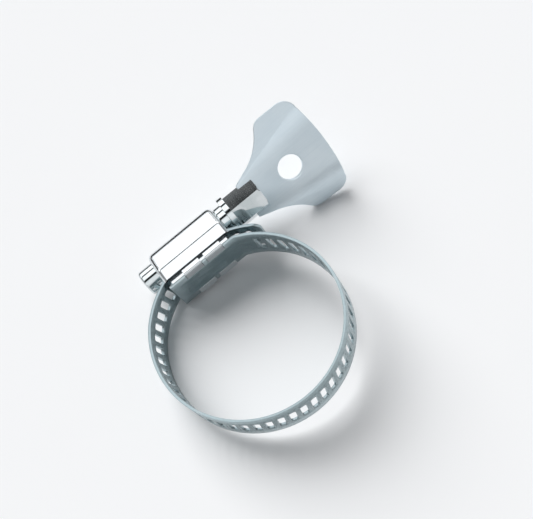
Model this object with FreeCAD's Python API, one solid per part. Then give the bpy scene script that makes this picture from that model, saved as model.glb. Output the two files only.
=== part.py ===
import FreeCAD, Part
import math
import os

# Worm-drive hose clamp with a thumb key, in millimetres.
#
# The origin is the centre of the hose bore, halfway across the band.
# +Z runs along the hose. +X runs along the screw towards its head and key.
# +Y runs from the hose to the housing.
# Angles round the loop are in degrees, clockwise from +Y towards +X.
# The band is one springy steel strip. Here it is four stiff lengths, butted end to end
# at three bending lines: one at the screw's head side of the housing, one on the far side of
# the loop and one on the screw's tip side. The fixed end is spot-welded to the saddle's edges,
# and the housing's feet grip the saddle from below, in notches in the strip.

# ---- driving dimensions ----
# Band
band_width = 10.0
band_thickness = 0.6
loop_radius = 19.5              # middle of the strip, on the head side of the loop
slot_pitch = 2.5                # along the strip, and so the pitch of the worm as well
slot_length = 5.0               # across the strip
slot_width = 1.4                # along the strip
slot_corner_radius = 0.3
tail_length = 15.6              # free end past the top of the housing, along the strip
tail_corner_radius = 2.0
tip_hinge_slots = 7             # slots between the top of the housing and the tip-side bend
far_side_slots = 18             # slots between the tip-side bend and the far bend
hinge_gap = 0.12                # from each bending line to the end of a strip

# Housing
housing_length = 17.2
housing_wall = 0.8
housing_end_radius = 1.3        # rounding where each end is pressed in round the screw
skirt_drop = 3.1                # from the shoulder of the housing to the lower edge of its side
leg_width = 4.3
leg_gap = 1.2
leg_shift = 0.7                 # middle of the legs, from the middle of the housing
leg_reach = 1.5                 # how far each leg's foot is folded in under the saddle's edge
end_wall_drop = 2.0             # how far the end walls reach below the screw's axis
edge_clearance = 0.15           # between the strip's edges and the housing's sides
guide_clearance = 0.2           # above and below the sliding strip
dome_clearance = 0.1            # between the worm and the dome

# Saddle and fixed end of the band
saddle_thickness = 0.8
saddle_inset = 1.3              # from each end of the housing to the saddle
fixed_end_inset = 0.3           # from each end of the housing to the end of the flat strip
overlap_rise = 1.9              # from the fixed strip's middle to the sliding strip's middle
notch_clearance = 0.1

# Screw
worm_radius = 3.4
core_radius = 2.6
thread_crest = 0.6
thread_root = 1.0
thread_engagement = 0.5         # how deep the worm reaches into the strip
journal_clearance = 0.05
end_play = 0.1
shoulder_radius = 2.9
tip_length = 3.7                # past the housing
tip_chamfer = 0.6
head_shoulder_length = 1.7
collar_radius = 4.0
collar_thickness = 1.3
hex_across_flats = 7.0
hex_length = 7.3
hex_chamfer = 0.4

# Thumb key
key_thickness = 1.2
key_slot_clearance = 0.02
key_seat = 3.4                  # depth of the slot across the hex head
key_neck_width = 8.6
key_width = 25.0
key_length = 21.2
key_hole_radius = 2.8
key_hole_from_neck = 11.7
key_turn = 50.0                 # the plate's turn about the screw's axis, from the band's plane
key_wing_bend = 24.0
key_crease_offset = 4.6         # crease to the key's centre line, where the flank starts to rise
key_crease_splay = 10.0         # degrees between each crease and the key's centre line

# ---- places worked out from them ----
half_band = band_width / 2
half_strip = band_thickness / 2
sliding_radius = loop_radius + overlap_rise
slot_step = math.degrees(slot_pitch / sliding_radius)
half_housing = housing_length / 2
flat_half = half_housing - fixed_end_inset
flat_height = math.sqrt(loop_radius ** 2 - flat_half ** 2)
flat_top = flat_height + half_strip
screw_height = sliding_radius + half_strip - thread_engagement + worm_radius
dome_radius = worm_radius + dome_clearance
side_inner = half_band + edge_clearance
side_outer = side_inner + housing_wall
shoulder_height = sliding_radius + half_strip + 2 * guide_clearance
skirt_height = shoulder_height - skirt_drop
thread_half = half_housing - housing_wall - end_play
shoulder_start = half_housing + end_play
collar_start = shoulder_start + head_shoulder_length
hex_start = collar_start + collar_thickness
head_end = hex_start + hex_length
key_start = head_end - key_seat
lead_angle = math.degrees(math.atan(slot_pitch / (2 * math.pi * worm_radius)))

UP = FreeCAD.Vector(0, 0, 1)
ALONG = FreeCAD.Vector(1, 0, 0)
CENTRE = FreeCAD.Vector(0, 0, 0)
FAR = 100.0                     # longer than anything here, for half-space cuts


def on_circle(radius, degrees, middle=CENTRE):
    """A point on a circle in the plane of the loop, clockwise from +Y."""
    turn = math.radians(degrees)
    return middle + FreeCAD.Vector(radius * math.sin(turn), radius * math.cos(turn), 0)


def bearing(point, middle=CENTRE):
    """The clockwise angle of a point from +Y, between 0 and 360 degrees."""
    return math.degrees(math.atan2(point.x - middle.x, point.y - middle.y)) % 360


# ---- the three bending lines ----
head_bend = FreeCAD.Vector(flat_half, flat_height, 0)
tip_bend_angle = -(tip_hinge_slots + 0.5) * slot_step
tip_bend = on_circle(sliding_radius, tip_bend_angle)


def far_arc(far_angle):
    """The tip-side arc from a far bend at this angle: its middle, radius and sweep in degrees.

    It runs on smoothly from the head-side arc and ends at the tip-side bend.
    """
    outward = on_circle(1, far_angle)
    growth = (sliding_radius ** 2 - loop_radius ** 2) / (2 * (loop_radius - tip_bend.dot(outward)))
    middle = outward * -growth
    sweep = bearing(tip_bend, middle) - far_angle
    return middle, loop_radius + growth, sweep


# The far bend is moved until a whole number of slots fits between it and the tip-side bend.
far_bend_angle = 180.0
for attempt in range(20):
    tip_middle, tip_radius, tip_sweep = far_arc(far_bend_angle)
    spare = math.radians(tip_sweep) * tip_radius - far_side_slots * slot_pitch
    far_bend_angle += math.degrees(spare / tip_radius)
far_bend = on_circle(loop_radius, far_bend_angle)


def strip(radius, start, end, middle=CENTRE):
    """A curved length of strip between two bearings, square across its ends."""
    halfway = (start + end) / 2
    outer = [on_circle(radius + half_strip, angle, middle) for angle in (start, halfway, end)]
    inner = [on_circle(radius - half_strip, angle, middle) for angle in (end, halfway, start)]
    edges = [
        Part.Arc(*outer).toShape(),
        Part.LineSegment(outer[2], inner[0]).toShape(),
        Part.Arc(*inner).toShape(),
        Part.LineSegment(inner[2], outer[0]).toShape(),
    ]
    face = Part.Face(Part.Wire(edges))
    face.translate(UP * -half_band)
    return face.extrude(UP * band_width)


def rounded_slot():
    """The cutter of one slot, centred at the origin, with its long side across the strip."""
    depth = 4 * band_thickness
    block = Part.makeBox(
        slot_width,
        depth,
        slot_length,
        FreeCAD.Vector(-slot_width / 2, -depth / 2, -slot_length / 2),
    )
    corners = [edge for edge in block.Edges if abs(edge.tangentAt(edge.FirstParameter).y) > 0.5]
    cutter = block.makeFillet(slot_corner_radius, corners)
    cutter.rotate(CENTRE, FreeCAD.Vector(0, 1, 0), -lead_angle)
    return cutter


def slotted(shape, radius, first, step, count, middle=CENTRE):
    """Cut a row of slots into a curved strip, from the first one's bearing."""
    slot = rounded_slot()
    row = []
    for index in range(count):
        angle = first + index * step
        cutter = slot.copy()
        cutter.rotate(CENTRE, UP, -angle)
        cutter.translate(on_circle(radius, angle, middle))
        row.append(cutter)
    return shape.cut(Part.Compound(row))


def band_head_side():
    """The head-side half of the loop, from the housing down to the far bend."""
    gap = math.degrees(hinge_gap / loop_radius)
    start = bearing(head_bend)
    step = math.degrees(slot_pitch / loop_radius)
    count = int((far_bend_angle - start) / step - 0.5)
    first = far_bend_angle - (count - 0.5) * step
    shape = strip(loop_radius, start + gap, far_bend_angle - gap)
    return slotted(shape, loop_radius, first, step, count)


def band_tip_side():
    """The tip-side half of the loop, from the far bend up to the tip-side bend."""
    gap = math.degrees(hinge_gap / tip_radius)
    step = tip_sweep / far_side_slots
    shape = strip(tip_radius, far_bend_angle + gap, far_bend_angle + tip_sweep - gap, tip_middle)
    return slotted(shape, tip_radius, far_bend_angle + step / 2, step, far_side_slots, tip_middle)


def band_free_end():
    """The sliding end of the band, through the housing to the tip of its tail."""
    gap = math.degrees(hinge_gap / sliding_radius)
    tail_angle = math.degrees(tail_length / sliding_radius)
    shape = strip(sliding_radius, tip_bend_angle + gap, tail_angle)
    tail_end = on_circle(sliding_radius, tail_angle)
    corners = []
    for edge in shape.Edges:
        at_tail = (edge.CenterOfMass - tail_end).Length < half_band + 0.01
        across_thickness = abs(edge.Length - band_thickness) < 0.001
        if at_tail and across_thickness:
            corners.append(edge)
    shape = shape.makeFillet(tail_corner_radius, corners)
    tail_slots = int((tail_angle - math.degrees(tail_corner_radius / sliding_radius)) / slot_step)
    count = tip_hinge_slots + 1 + tail_slots
    return slotted(shape, sliding_radius, -tip_hinge_slots * slot_step, slot_step, count)


def leg_positions():
    """Where each leg starts along the screw, on either side of the housing."""
    first = leg_shift - leg_gap / 2 - leg_width
    return [first, first + leg_width + leg_gap]


def band_fixed_end():
    """The flat end of the band under the housing, notched at its edges for the housing's legs."""
    shape = Part.makeBox(
        2 * flat_half - hinge_gap,
        band_thickness,
        band_width,
        FreeCAD.Vector(-flat_half, flat_height - half_strip, -half_band),
    )
    depth = leg_reach + notch_clearance
    for start in leg_positions():
        for side in (-half_band, half_band - depth):
            corner = FreeCAD.Vector(start - notch_clearance, flat_height - band_thickness, side)
            notch = Part.makeBox(leg_width + 2 * notch_clearance, 2 * band_thickness, depth, corner)
            shape = shape.cut(notch)
    return shape


def housing_saddle():
    """The pressed tray between the two ends of the band: a curved top with turned-down edges."""
    top = sliding_radius - half_strip - guide_clearance
    saddle_length = housing_length - 2 * saddle_inset
    corner = FreeCAD.Vector(-saddle_length / 2, flat_top, -half_band)
    wall = FreeCAD.Vector(saddle_thickness, 0, saddle_thickness)
    hollow_length = saddle_length - 2 * saddle_thickness
    hollow_width = band_width - 2 * saddle_thickness
    block = Part.makeBox(saddle_length, FAR, band_width, corner)
    hollow = Part.makeBox(hollow_length, FAR, hollow_width, corner + wall)
    outside = Part.makeCylinder(top, band_width, UP * -half_band, UP)
    inside = Part.makeCylinder(top - saddle_thickness, band_width, UP * -half_band, UP)
    return block.common(outside).cut(hollow.common(inside))


def tangent_point(corner, radius):
    """Where a line from a corner (z, y) touches the upper part of a circle about the screw."""
    across = corner.z
    down = screw_height - corner.y
    distance = math.hypot(across, down)
    turn = math.acos(radius / distance) - math.atan2(down, across)
    return FreeCAD.Vector(0, screw_height + radius * math.sin(turn), radius * math.cos(turn))


def mirrored(point):
    """The same point on the other side of the screw."""
    return FreeCAD.Vector(point.x, point.y, -point.z)


def dome_section(half_width, shoulder, radius, bottom):
    """The closed outline of the dome: upright sides, sloping shoulders and a round top."""
    foot = FreeCAD.Vector(0, bottom, half_width)
    corner = FreeCAD.Vector(0, shoulder, half_width)
    touch = tangent_point(corner, radius)
    crown = FreeCAD.Vector(0, screw_height + radius, 0)
    edges = [
        Part.LineSegment(foot, corner).toShape(),
        Part.LineSegment(corner, touch).toShape(),
        Part.Arc(touch, crown, mirrored(touch)).toShape(),
        Part.LineSegment(mirrored(touch), mirrored(corner)).toShape(),
        Part.LineSegment(mirrored(corner), mirrored(foot)).toShape(),
        Part.LineSegment(mirrored(foot), foot).toShape(),
    ]
    return Part.Face(Part.Wire(edges))


def extruded_along_screw(face, length):
    """A section drawn across the screw, extruded to both sides of the housing's middle."""
    shape = face.copy()
    shape.translate(ALONG * (-length / 2))
    return shape.extrude(ALONG * length)


def housing_leg(start, side):
    """One leg: down past the strip's edge, with its foot folded in under the saddle."""
    bottom = flat_height - half_strip
    upright = Part.makeBox(
        leg_width,
        shoulder_height - bottom,
        housing_wall,
        FreeCAD.Vector(start, bottom, side_inner),
    )
    foot = Part.makeBox(
        leg_width,
        band_thickness,
        side_outer - half_band + leg_reach,
        FreeCAD.Vector(start, bottom, half_band - leg_reach),
    )
    leg = upright.fuse(foot).removeSplitter()
    heel = []
    for edge in leg.Edges:
        middle = edge.CenterOfMass
        along_screw = abs(edge.Length - leg_width) < 0.001
        at_bottom = abs(middle.y - bottom) < 0.001 and abs(middle.z - side_outer) < 0.001
        if along_screw and at_bottom:
            heel.append(edge)
    leg = leg.makeFillet(min(housing_wall, band_thickness) * 0.8, heel)
    if side < 0:
        leg = leg.mirror(CENTRE, UP)
    return leg


def rounded_ends(shape):
    """Round over both ends of the dome, except along its lower edges."""
    rims = []
    for edge in shape.Edges:
        box = edge.BoundBox
        at_end = box.XLength < 0.001 and abs(abs(box.XMin) - half_housing) < 0.001
        if at_end and box.YMax > skirt_height + 0.001:
            rims.append(edge)
    return shape.makeFillet(housing_end_radius, rims)


def housing_dome():
    """The pressed housing over the worm, with skirts beside the band and four folded legs."""
    outer = dome_section(side_outer, shoulder_height, dome_radius + housing_wall, skirt_height)
    inner_shoulder = shoulder_height - housing_wall / 2
    inner = dome_section(side_inner, inner_shoulder, dome_radius, skirt_height - 1)
    shape = rounded_ends(extruded_along_screw(outer, housing_length))
    hollow = extruded_along_screw(inner, housing_length - 2 * housing_wall)
    below_walls = Part.makeBox(
        housing_length + 2,
        FAR,
        2 * side_inner,
        FreeCAD.Vector(-half_housing - 1, screw_height - end_wall_drop - FAR, -side_inner),
    )
    passage = extruded_along_screw(inner, housing_length + 2).common(below_walls)
    journals = rod(core_radius + journal_clearance, -half_housing - 1, half_housing + 1)
    shape = shape.cut([hollow, passage, journals])
    legs = [housing_leg(start, side) for start in leg_positions() for side in (-1, 1)]
    return shape.fuse(legs).removeSplitter()


def rod(radius, start, end):
    """A round length of the screw between two places along its axis."""
    return Part.makeCylinder(radius, end - start, FreeCAD.Vector(start, screw_height, 0), ALONG)


def worm_thread():
    """The right-hand thread, in mesh with the slot at the top of the sliding strip."""
    turns = math.ceil(2 * thread_half / slot_pitch) + 1.5
    height = turns * slot_pitch
    helix = Part.makeHelix(slot_pitch, height, core_radius)
    sunk = core_radius - 0.2
    corners = [
        FreeCAD.Vector(sunk, 0, -thread_root / 2),
        FreeCAD.Vector(worm_radius, 0, -thread_crest / 2),
        FreeCAD.Vector(worm_radius, 0, thread_crest / 2),
        FreeCAD.Vector(sunk, 0, thread_root / 2),
    ]
    profile = Part.makePolygon(corners + corners[:1])
    thread = Part.Wire(helix).makePipeShell([profile], True, True)
    thread.rotate(CENTRE, FreeCAD.Vector(0, 1, 0), 90)
    # The crest faces the strip three quarters of a turn after the thread's start.
    whole_turns = round(turns / 2 - 0.75)
    start = -(whole_turns + 0.75) * slot_pitch
    thread.translate(FreeCAD.Vector(start, screw_height, 0))
    return thread.common(rod(worm_radius + 1, -thread_half, thread_half))


def hex_head():
    """The hexagonal head, with its outer end chamfered all round."""
    corner_radius = hex_across_flats / math.sqrt(3)
    corners = []
    for index in range(7):
        turn = math.radians(60 * index + key_turn)
        across = corner_radius * math.cos(turn)
        corners.append(FreeCAD.Vector(hex_start, screw_height + across, corner_radius * math.sin(turn)))
    prism = Part.Face(Part.makePolygon(corners)).extrude(ALONG * hex_length)
    cone_length = hex_length + corner_radius
    cone = Part.makeCone(
        corner_radius - hex_chamfer + cone_length,
        corner_radius - hex_chamfer,
        cone_length,
        FreeCAD.Vector(head_end - cone_length, screw_height, 0),
        ALONG,
    )
    return prism.common(cone)


def turned_to_key(shape):
    """Turn a shape drawn flat in the band's plane to the key's own plane, on the screw's axis."""
    shape.rotate(CENTRE, ALONG, key_turn)
    shape.translate(FreeCAD.Vector(0, screw_height, 0))
    return shape


def worm_screw():
    """The worm, its journals, tip, collar and slotted hexagonal head, as one turned piece."""
    core = rod(core_radius, -shoulder_start - 1, collar_start)
    tip_end = -half_housing - tip_length
    tip = rod(shoulder_radius, tip_end, -shoulder_start)
    rims = [edge for edge in tip.Edges if abs(edge.CenterOfMass.x - tip_end) < 0.001]
    tip = tip.makeChamfer(tip_chamfer, rims)
    shoulder = rod(shoulder_radius, shoulder_start, collar_start)
    collar = rod(collar_radius, collar_start, hex_start)
    screw = core.fuse([tip, shoulder, collar, hex_head(), worm_thread()])
    slot_gap = key_thickness + 2 * key_slot_clearance
    slot = Part.makeBox(
        key_seat + 1,
        FAR,
        slot_gap,
        FreeCAD.Vector(key_start - key_slot_clearance, -FAR / 2, -slot_gap / 2),
    )
    return screw.cut(turned_to_key(slot))


def key_outline():
    """Half of the key's outline, from the middle of its neck end to the middle of its far edge."""
    neck = key_neck_width / 2
    wing = key_width / 2
    end = key_start + key_length
    return [
        ("line", [(key_start, 0), (key_start, neck)]),
        ("line", [(key_start, neck), (key_start + 4.2, neck + 1.6)]),
        ("arc", [(key_start + 4.2, neck + 1.6), (key_start + 8.0, neck + 4.0), (key_start + 10.4, wing - 1.3)]),
        ("arc", [(key_start + 10.4, wing - 1.3), (key_start + 11.5, wing - 0.3), (key_start + 13.0, wing)]),
        ("line", [(key_start + 13.0, wing), (end - 3.8, wing)]),
        ("arc", [(end - 3.8, wing), (end - 1.7, wing - 0.9), (end - 0.8, wing - 3.2)]),
        ("arc", [(end - 0.8, wing - 3.2), (end - 0.2, wing / 2 - 1.6), (end, 0)]),
    ]


def flat_key():
    """The key as a flat plate in the band's plane, along the X axis."""
    edges = []
    for side in (1, -1):
        for form, points in key_outline():
            corners = [FreeCAD.Vector(along, side * across, 0) for along, across in points]
            curve = Part.Arc(*corners) if form == "arc" else Part.LineSegment(*corners)
            edges.append(curve.toShape())
    outline = Part.Wire(Part.__sortEdges__(edges))
    plate = Part.Face(outline)
    plate.translate(UP * (-key_thickness / 2))
    plate = plate.extrude(UP * key_thickness)
    hole_centre = FreeCAD.Vector(key_start + key_hole_from_neck, 0, -key_thickness)
    return plate.cut(Part.makeCylinder(key_hole_radius, 2 * key_thickness, hole_centre, UP))


def thumb_key():
    """The stamped thumb key: both wings are folded back to the same side of the plate."""
    plate = flat_key()
    pieces = []
    middle = plate.copy()
    for side in (1, -1):
        crease = FreeCAD.Vector(key_start + 4.2, side * key_crease_offset, 0)
        splay = math.radians(side * key_crease_splay)
        direction = FreeCAD.Vector(math.cos(splay), math.sin(splay), 0)
        fold = -side * key_wing_bend
        half_space = Part.makeBox(2 * FAR, FAR, 2 * FAR, FreeCAD.Vector(-FAR, 0, -FAR))
        if side < 0:
            half_space.translate(FreeCAD.Vector(0, -FAR, 0))
        half_space.rotate(CENTRE, UP, math.degrees(splay))
        half_space.translate(crease)
        half_space.rotate(crease, direction, fold / 2)
        wing = plate.copy()
        wing.rotate(crease, direction, fold)
        pieces.append(wing.common(half_space))
        middle = middle.cut(half_space)
    return turned_to_key(middle.fuse(pieces).removeSplitter())


sub_parts = {
    "housing_dome": housing_dome,
    "housing_saddle": housing_saddle,
    "band_fixed_end": band_fixed_end,
    "band_head_side": band_head_side,
    "band_tip_side": band_tip_side,
    "band_free_end": band_free_end,
    "worm_screw": worm_screw,
    "thumb_key": thumb_key,
}

os.makedirs("parts", exist_ok=True)
for node, build in sub_parts.items():
    shape = build()
    solids = shape.Solids
    print(node, len(solids), "solid", round(shape.Volume, 1), "mm3", shape.isValid())
    shape = solids[0] if len(solids) == 1 else Part.Compound(solids)
    shape.exportStep("parts/" + node + ".step")
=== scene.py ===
# %% [markdown]
# # A hose clamp with a thumb key
#
# The clamp is a slotted steel strip bent into a loop. Its two ends meet in a pressed housing, where a worm
# screw pulls one end past the other. A flat winged key on the screw's head lets it be tightened by hand.
# The CAD frame is loaded first and never moved. Every piece is then modelled in its place, in metres.

# %% Load the frame
import math

import bmesh
import bpy
from mathutils import Matrix, Vector


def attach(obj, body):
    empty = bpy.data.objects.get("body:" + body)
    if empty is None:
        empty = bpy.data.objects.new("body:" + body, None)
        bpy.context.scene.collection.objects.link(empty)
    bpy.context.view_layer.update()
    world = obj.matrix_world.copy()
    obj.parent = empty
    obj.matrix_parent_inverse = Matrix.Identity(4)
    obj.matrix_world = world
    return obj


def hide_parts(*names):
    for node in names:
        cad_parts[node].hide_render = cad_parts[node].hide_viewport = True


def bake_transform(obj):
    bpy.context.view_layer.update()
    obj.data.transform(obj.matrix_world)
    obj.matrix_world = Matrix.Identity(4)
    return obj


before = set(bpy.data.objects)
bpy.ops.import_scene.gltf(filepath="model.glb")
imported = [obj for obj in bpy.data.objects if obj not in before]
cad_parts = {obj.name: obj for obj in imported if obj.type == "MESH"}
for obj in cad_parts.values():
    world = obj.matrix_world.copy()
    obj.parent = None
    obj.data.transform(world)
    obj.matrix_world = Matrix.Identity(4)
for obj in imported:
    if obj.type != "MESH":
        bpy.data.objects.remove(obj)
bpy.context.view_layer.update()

# %% [markdown]
# The dimensions are those of the CAD source, in millimetres, and one helper turns them into metres. Two
# places less than `NEAR` apart count as one when something is selected by its place. The loop lies in the XY
# plane with its middle at the origin, the screw lies along X above it, and Z runs along the hose. Bearings
# are measured clockwise from +Y, as seen from +Z.

# %% Dimensions
MM = 0.001
NEAR = 0.01


def mm(*values):
    """Millimetres to metres: one number, or a vector of three."""
    scaled = [value * MM for value in values]
    return scaled[0] if len(scaled) == 1 else Vector(scaled)


BAND_WIDTH = 10.0
BAND_THICKNESS = 0.6
LOOP_RADIUS = 19.5
SLIDING_RADIUS = 21.4
PITCH = 2.5
SLOT_LENGTH = 5.0
SLOT_WIDTH = 1.4
SLOT_CORNER = 0.3
TAIL_LENGTH = 15.6
HALF_HOUSING = 8.6
WALL = 0.8
SCREW_HEIGHT = 24.6
WORM_RADIUS = 3.4
CORE_RADIUS = 2.6
LEAD = math.degrees(math.atan(PITCH / (2 * math.pi * WORM_RADIUS)))
print("lead angle", round(LEAD, 2), "degrees")


def on_circle(radius, degrees, middle=Vector((0, 0, 0))):
    """A point on a circle in the plane of the loop, in millimetres."""
    turn = math.radians(degrees)
    return middle + Vector((radius * math.sin(turn), radius * math.cos(turn), 0))


# %% [markdown]
# ## Hands on the tools
#
# These helpers do what a maker's hands do between two tools: put one object on the bench, select the part
# of it that the next tool should change, and apply a modifier once it looks right. Selection goes by place
# in millimetres and by direction, because a script has no mouse.

# %% Bench helpers
def put_on_bench(*objs):
    """Leaves only these objects selected, the last of them active, in object mode."""
    if bpy.context.mode != "OBJECT":
        bpy.ops.object.mode_set(mode="OBJECT")
    bpy.ops.object.select_all(action="DESELECT")
    for obj in objs:
        obj.select_set(True)
    bpy.context.view_layer.objects.active = objs[-1]
    return objs[-1]


def clear_bench():
    """Nothing selected, ready for a new primitive."""
    if bpy.context.mode != "OBJECT":
        bpy.ops.object.mode_set(mode="OBJECT")
    bpy.ops.object.select_all(action="DESELECT")


def named(name):
    """Gives the new primitive its name and applies its place, so that its mesh holds it."""
    obj = bpy.context.object
    obj.name = obj.data.name = name
    bpy.ops.object.transform_apply(location=True, rotation=True, scale=True)
    return obj


def edit(obj):
    """Opens one object in edit mode."""
    put_on_bench(obj)
    bpy.ops.object.mode_set(mode="EDIT")


def done():
    """Back to object mode."""
    bpy.ops.object.mode_set(mode="OBJECT")


def pick(kind, test):
    """In edit mode, selects only what passes the test of its middle, in millimetres, and its direction.

    The direction is a face's or a vertex's normal, or the way an edge runs.
    """
    mesh = bmesh.from_edit_mesh(bpy.context.edit_object.data)
    bpy.ops.mesh.select_mode(type=kind)
    bpy.ops.mesh.select_all(action="DESELECT")
    chosen = 0
    for item in {"VERT": mesh.verts, "EDGE": mesh.edges, "FACE": mesh.faces}[kind]:
        if kind == "VERT":
            place, way = item.co, item.normal
        elif kind == "EDGE":
            ends = [corner.co for corner in item.verts]
            place, way = (ends[0] + ends[1]) / 2, (ends[1] - ends[0]).normalized()
        else:
            place, way = item.calc_center_median(), item.normal
        if test(place / MM, way):
            item.select_set(True)
            chosen += 1
    mesh.select_flush_mode()
    bmesh.update_edit_mesh(bpy.context.edit_object.data)
    return chosen


def cut(place, way, **settings):
    """In edit mode, cuts what is selected by a plane through a place in millimetres."""
    bpy.ops.mesh.bisect(plane_co=Vector(place) * MM, plane_no=way, threshold=1e-7, **settings)


def cut_all(place, way, **settings):
    """Cuts the whole mesh by a plane."""
    bpy.ops.mesh.select_all(action="SELECT")
    cut(place, way, **settings)


def face_outwards():
    """In edit mode, turns every face of the mesh outwards."""
    bpy.ops.mesh.select_all(action="SELECT")
    bpy.ops.mesh.normals_make_consistent(inside=False)


def shade(obj, degrees):
    """Smooths the shading of an object, except over edges sharper than an angle."""
    put_on_bench(obj)
    bpy.ops.object.shade_smooth_by_angle(angle=math.radians(degrees))


def apply_modifier(obj, kind, **settings):
    """Adds one modifier, sets it up and applies it."""
    put_on_bench(obj)
    modifier = obj.modifiers.new(kind.title(), kind)
    for key, value in settings.items():
        setattr(modifier, key, value)
    bpy.ops.object.modifier_apply(modifier=modifier.name)


def carve(obj, tool, operation="DIFFERENCE"):
    """Cuts a tool's shape out of a piece, or adds it, and throws the tool away."""
    apply_modifier(obj, "BOOLEAN", object=tool, operation=operation, solver="EXACT")
    bpy.data.objects.remove(tool)


def copy_of(obj, name):
    """A copy with its own mesh."""
    put_on_bench(obj)
    bpy.ops.object.duplicate()
    twin = bpy.context.object
    twin.name = twin.data.name = name
    return twin


def joined(name, *objs):
    """Joins finished lengths into one mesh and merges the corners that they share."""
    whole = put_on_bench(*objs)
    bpy.ops.object.join()
    whole.name = whole.data.name = name
    edit(whole)
    bpy.ops.mesh.select_all(action="SELECT")
    bpy.ops.mesh.remove_doubles(threshold=mm(0.002))
    done()
    return whole


# %% [markdown]
# ## The camera
#
# The clamp lies on a pale table, and the camera looks down on it along the hose, a little from below the
# loop. A camera's own axes are its right, its up and the way behind it, so its matrix is built from those.

# %% Camera
camera_place = mm(8.8, -94.6, 216.8)
looking = Vector((0.0090, 0.4357, -0.9000)).normalized()
camera_right = Vector((0.7729, -0.5741, -0.2702))
camera_up = camera_right.cross(looking).normalized()
camera_right = looking.cross(camera_up)
axes = Matrix((camera_right, camera_up, -looking)).transposed().to_4x4()

clear_bench()
bpy.ops.object.camera_add()
camera = bpy.context.object
camera.name = "camera"
camera.data.lens = 78.4
camera.data.shift_x, camera.data.shift_y = -0.0045, 0.004
camera.data.clip_start = 0.01
camera.matrix_world = Matrix.Translation(camera_place) @ axes
bpy.context.scene.camera = camera
print("camera stands", round(camera_place.length / MM), "mm from the middle of the loop")

# %% [markdown]
# ## The line of the band
#
# The strip is one length of steel, so its shape is one line: flat under the housing, bent down at the
# housing's head end, round the loop, and back through the housing above the flat end. Each stretch is an
# arc, so the line is worked out from the radii. Where the far bend lies depends on the arc that starts there,
# so it is found by trying until 18 slots fit between it and the tip-side bend. The strip is made flat and
# laid on this line by a Curve modifier, which is how the real one is made too: punched flat, then rolled.

# %% Bends and arcs of the band
FIXED_END_INSET = 0.3
TIP_SLOTS = 7
FAR_SLOTS = 18
flat_half = HALF_HOUSING - FIXED_END_INSET
flat_height = math.sqrt(LOOP_RADIUS ** 2 - flat_half ** 2)
head_angle = math.degrees(math.atan2(flat_half, flat_height))
slot_step = math.degrees(PITCH / SLIDING_RADIUS)
tip_angle = -(TIP_SLOTS + 0.5) * slot_step
tip_bend = on_circle(SLIDING_RADIUS, tip_angle)
far_angle = 180.0
for attempt in range(20):
    outward = on_circle(1, far_angle)
    growth = (SLIDING_RADIUS ** 2 - LOOP_RADIUS ** 2) / (2 * (LOOP_RADIUS - tip_bend.dot(outward)))
    tip_middle = outward * -growth
    tip_radius = LOOP_RADIUS + growth
    reach = tip_bend - tip_middle
    tip_sweep = math.degrees(math.atan2(reach.x, reach.y)) % 360 - far_angle
    far_angle += math.degrees((math.radians(tip_sweep) * tip_radius - FAR_SLOTS * PITCH) / tip_radius)
tail_angle = math.degrees(TAIL_LENGTH / SLIDING_RADIUS)
print("far bend at", round(far_angle, 2), "degrees, tip-side radius", round(tip_radius, 3), "mm")


# %% Draw the line
def arc_points(radius, start, end, middle=Vector((0, 0, 0)), step=1.0):
    """Points along an arc, about a degree apart."""
    count = max(2, round(abs(end - start) / step))
    return [on_circle(radius, start + (end - start) * i / count, middle) for i in range(count + 1)]


BEND_RADIUS = 1.0
bend_reach = BEND_RADIUS * math.tan(math.radians(head_angle / 2))
head_bend_start = Vector((flat_half - bend_reach, flat_height, 0))
head_bend_middle = head_bend_start - Vector((0, BEND_RADIUS, 0))
line = [Vector((-flat_half + i, flat_height, 0)) for i in range(16)]
line += arc_points(BEND_RADIUS, 0, head_angle, head_bend_middle, step=3)
line += arc_points(LOOP_RADIUS, head_angle + math.degrees(bend_reach / LOOP_RADIUS), far_angle)
line += arc_points(tip_radius, far_angle, far_angle + tip_sweep, tip_middle)[1:]
line += arc_points(SLIDING_RADIUS, tip_angle, tail_angle)[1:]
line += [line[-1] + (line[-1] - line[-2])]

drawn = bpy.data.curves.new("band_line", "CURVE")
drawn.dimensions = "2D"
spline = drawn.splines.new("POLY")
spline.points.add(len(line) - 1)
for corner, place in zip(spline.points, line):
    corner.co = (*(place * MM), 1)
band_line = bpy.data.objects.new("band_line", drawn)
bpy.context.scene.collection.objects.link(band_line)
loop_length = math.radians(far_angle - head_angle) * LOOP_RADIUS
far_at = 2 * flat_half + loop_length
print("far bend lies", round(far_at, 2), "mm from the fixed end's tip")

# %% [markdown]
# ## One slot of the strip
#
# The strip repeats one cell: a slot in the middle of a 2.5 mm length. The cell starts as a plane, is cut
# across above and below the slot, and is inset to the slot's outline. A vertex bevel rounds the outline's
# corners, and the slot leans by the worm's lead angle, because the thread crosses it at that slant. The
# cell is split down its middle too, so that it bends smoothly. The plain ends are cut at the same two heights
# as the cell, so that their corners meet.

# %% The slotted cell
web = (PITCH - SLOT_WIDTH) / 2
CELL_CUT = SLOT_LENGTH / 2 + web


def plate(name, start, length):
    """A flat plain length of strip, standing in the XZ plane, from a place along the line."""
    clear_bench()
    middle = mm(start + length / 2, 0, 0)
    bpy.ops.mesh.primitive_plane_add(size=1, location=middle, rotation=(math.radians(90), 0, 0))
    bpy.context.object.scale = (mm(length), mm(BAND_WIDTH), 1)
    return named(name)


def round_the_slot(place, way):
    """Whether a corner of the cell belongs to the slot's outline."""
    return abs(place.x - PITCH / 2) < SLOT_WIDTH / 2 + NEAR and abs(place.z) < SLOT_LENGTH / 2 + NEAR


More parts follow.
